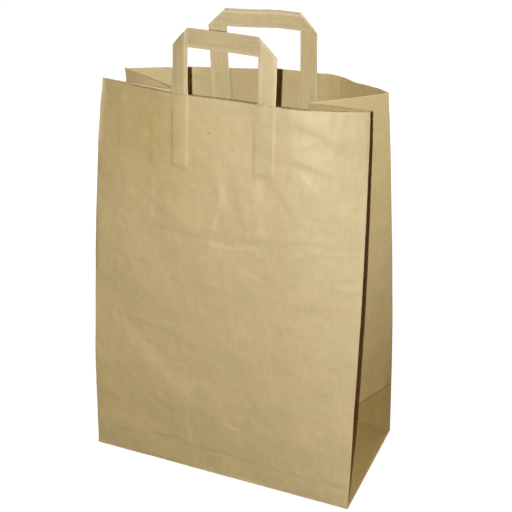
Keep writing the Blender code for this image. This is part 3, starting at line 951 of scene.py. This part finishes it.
def strip_handle(name, panel, node, material):
    """One folded strip: two legs glued inside the panel and a bar on the inner side of the legs."""
    left, right = -HANDLE_SPAN / 2, HANDLE_SPAN / 2
    start = HEIGHT - HANDLE_GLUED
    knee = HEIGHT + HANDLE_RISE - HANDLE_STRIP
    leg_back = -(SHEET_THICKNESS + GLUE_GAP + STRIP_THICKNESS)
    bar_front = leg_back - BAR_GAP
    shown, hidden = strip_section()
    section = shown + hidden
    shares = np.array([share for share, _ in section])
    heights = np.array([height for _, height in section])
    is_shown = np.arange(len(section)) < len(shown)

    def leg_line(side, along):
        """One line across a leg. The last one, along = 1, stays a little short of the fold."""
        edge = left if side < 0 else right
        inset = FOLD_TURN if along == 1 else 0.0
        fold = knee + HANDLE_STRIP * shares - inset
        return edge - side * HANDLE_STRIP * shares, start + (fold - start) * along, leg_back + heights

    def bar_line(along):
        """One line across the bar, whose two ends stay a little short of the folds."""
        inset = FOLD_TURN if along in (0, 1) else 0.0
        begin = left + HANDLE_STRIP * shares + inset
        end = right - HANDLE_STRIP * shares - inset
        return begin + (end - begin) * along, knee + HANDLE_STRIP * shares, bar_front - heights

    def fold_line(side):
        """The outside of the 45 degree fold, which bulges a little past the fold line."""
        bulge = FOLD_TURN * heights / STRIP_THICKNESS
        edge = left if side < 0 else right
        across = edge - side * HANDLE_STRIP * shares + side * bulge * 0.5
        between = np.full_like(shares, 0.5 * (leg_back + bar_front))
        return across, knee + HANDLE_STRIP * shares + bulge * 0.5, between

    leg_stations = [i / LEG_STATIONS for i in range(LEG_STATIONS + 1)]
    bar_stations = [i / BAR_STATIONS for i in range(BAR_STATIONS + 1)]
    lines = [leg_line(-1, along) for along in leg_stations]
    lines.append(fold_line(-1))
    lines += [bar_line(along) for along in bar_stations]
    lines.append(fold_line(1))
    lines += [leg_line(1, 1 - along) for along in leg_stations]
    across = np.array([line[0] for line in lines])
    up = np.array([line[1] for line in lines])
    out = np.array([line[2] for line in lines])

    seed = 71 if panel == "front" else 83
    free = np.clip((up - HEIGHT) / 0.02, 0.0, 1.0)
    across = across * HANDLE_STRETCH[panel]
    up = up + (HANDLE_TILT[panel] * across - HANDLE_SINK[panel]) * free
    wave = 0.0
    for n, (rise, size) in enumerate(HANDLE_WAVES):
        wave = wave + rise * soft_noise(across / MM, up / MM, size, seed + n)
    points = sheet_point(panel, across, up, out + handle_bow(across, up, panel) + wave * MM * free)

    size, total = len(section), len(lines)
    faces = []
    for j in range(total - 1):
        for i in range(size):
            k = (i + 1) % size
            faces.append((j * size + k, j * size + i, (j + 1) * size + i, (j + 1) * size + k))
    faces += [tuple(range(size)), tuple(reversed(range((total - 1) * size, total * size)))]
    lengths = np.linalg.norm(np.diff(points[:, size // 4], axis=0), axis=1)
    along = np.concatenate([[0.0], np.cumsum(lengths)])
    # The hidden side's paper coordinates lie beside the shown side's.
    uv_across = shares * HANDLE_STRIP + np.where(is_shown, 0.0, HIDDEN_SIDE_SHIFT)
    uvs = [(place, s) for s in along for place in uv_across]
    edge_wear = np.maximum(np.exp(-((shares / 0.035) ** 2)), np.exp(-(((1 - shares) / 0.035) ** 2))) * 0.4
    # A painted highlight along the ply step on the shown side, kept in the wear beside the worn strip
    # edges.
    ply_place = 1 - PLY_MARGIN / HANDLE_STRIP
    ply_edge_highlight = 0.5 * np.exp(-(((shares - ply_place) / 0.02) ** 2)) * is_shown
    worn = np.tile(np.maximum(edge_wear, ply_edge_highlight), total)
    bar = np.clip((up - knee) / 0.003, 0.0, 1.0)
    # The strip's painted light and shade.
    tone = strip_light_and_shade(panel, across, bar, shares).reshape(-1, 3)
    points = points.reshape(-1, 3)
    piece = make_piece(name, points, faces, uvs, worn, tone, material, sharp=0.9)
    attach(piece, "root")
    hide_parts(node)


def make_camera():
    """The photograph's camera: its place, lens and off-centre frame."""
    data = bpy.data.cameras.new("camera")
    camera = bpy.data.objects.new("camera", data)
    bpy.context.scene.collection.objects.link(camera)
    back = Vector((math.sin(AZIMUTH) * math.cos(ELEVATION), -math.cos(AZIMUTH) * math.cos(ELEVATION),
                   math.sin(ELEVATION)))
    camera.location = LOOK_AT + back * CAMERA_DISTANCE
    camera.rotation_euler = (-back).to_track_quat("-Z", "Y").to_euler()
    data.sensor_width = SENSOR_WIDTH
    data.lens = FOCAL_PIXELS / IMAGE_SIZE * SENSOR_WIDTH
    data.shift_x = (IMAGE_SIZE / 2 - CENTRE_PIXEL[0]) / IMAGE_SIZE
    data.shift_y = (CENTRE_PIXEL[1] - IMAGE_SIZE / 2) / IMAGE_SIZE
    data.clip_start = 0.05
    data.clip_end = 50.0
    bpy.context.scene.camera = camera
    return camera


def make_light(name, location, size, power):
    """One round white lamp, turned to the bag."""
    data = bpy.data.lights.new(name, "AREA")
    data.shape = "DISK"
    data.size = size
    data.energy = power
    lamp = bpy.data.objects.new(name, data)
    bpy.context.scene.collection.objects.link(lamp)
    lamp.location = location
    lamp.rotation_euler = (LOOK_AT - Vector(location)).to_track_quat("-Z", "Y").to_euler()


def make_lights(camera):
    """The flash beside the lens, and the weak lamps."""
    turn = camera.rotation_euler.to_matrix()
    flash = camera.location + turn @ Vector((-FLASH_LEFT, -FLASH_DOWN, 0.0))
    make_light("flash", flash, FLASH_SIZE, FLASH_POWER)
    for name, (place, size, power) in LAMPS.items():
        make_light(name, place, size, power)


def make_world():
    """A weak warm room light that the camera sees as plain white."""
    world = bpy.data.worlds.new("room")
    bpy.context.scene.world = world
    world.use_nodes = True
    tree = world.node_tree
    room = tree.nodes["Background"]
    room.inputs["Color"].default_value = (1.0, 0.34, 0.09, 1.0)
    room.inputs["Strength"].default_value = 0.115
    white = tree.nodes.new("ShaderNodeBackground")
    white.inputs["Color"].default_value = (1.0, 1.0, 1.0, 1.0)
    path = tree.nodes.new("ShaderNodeLightPath")
    mix = tree.nodes.new("ShaderNodeMixShader")
    tree.links.new(path.outputs["Is Camera Ray"], mix.inputs["Fac"])
    tree.links.new(room.outputs["Background"], mix.inputs[1])
    tree.links.new(white.outputs["Background"], mix.inputs[2])
    tree.links.new(mix.outputs["Shader"], tree.nodes["World Output"].inputs["Surface"])


def make_floor():
    """A plain white floor that reads as white paper and keeps the bag's shadow."""
    half = 8.0
    mesh = bpy.data.meshes.new("floor")
    corners = [(-half, -half, 0), (half, -half, 0), (half, half, 0), (-half, half, 0)]
    mesh.from_pydata(corners, [], [(0, 1, 2, 3)])
    material = bpy.data.materials.new("floor_white")
    material.use_nodes = True
    tree = material.node_tree
    nodes, links = tree.nodes, tree.links
    shader = nodes["Principled BSDF"]
    shader.inputs["Base Color"].default_value = (0.14, 0.13, 0.12, 1.0)
    shader.inputs["Roughness"].default_value = 1.0
    shader.inputs["Specular IOR Level"].default_value = 0.0
    glow = nodes.new("ShaderNodeEmission")
    path = nodes.new("ShaderNodeLightPath")
    seen = path.outputs["Is Camera Ray"]
    # The glow is weaker round the bag, where the floor shows its shadow.
    place = nodes.new("ShaderNodeTexCoord")
    length = nodes.new("ShaderNodeVectorMath")
    length.operation = "LENGTH"
    links.new(place.outputs["Object"], length.inputs[0])
    spread = nodes.new("ShaderNodeMapRange")
    for socket, value in (("From Min", 0.25), ("From Max", 0.8), ("To Min", 0.93), ("To Max", 1.0)):
        spread.inputs[socket].default_value = value
    links.new(length.outputs["Value"], spread.inputs["Value"])
    strength = nodes.new("ShaderNodeMath")
    strength.operation = "MULTIPLY"
    links.new(seen, strength.inputs[0])
    links.new(spread.outputs["Result"], strength.inputs[1])
    links.new(strength.outputs["Value"], glow.inputs["Strength"])
    both = nodes.new("ShaderNodeAddShader")
    links.new(shader.outputs["BSDF"], both.inputs[0])
    links.new(glow.outputs["Emission"], both.inputs[1])
    links.new(both.outputs["Shader"], nodes["Material Output"].inputs["Surface"])
    mesh.materials.append(material)
    floor = bpy.data.objects.new("floor", mesh)
    bpy.context.scene.collection.objects.link(floor)


bpy.context.scene.view_settings.view_transform = "Standard"
camera = make_camera()
make_lights(camera)
make_world()
make_floor()
bag_sheet(kraft_material("kraft_paper", (0.59, 0.475, 0.226), 0.935))
strip = kraft_material("kraft_strip", (0.58, 0.465, 0.224), 0.87)
strip_handle("front_strip", "front", "front_handle", strip)
strip_handle("back_strip", "back", "back_handle", strip)
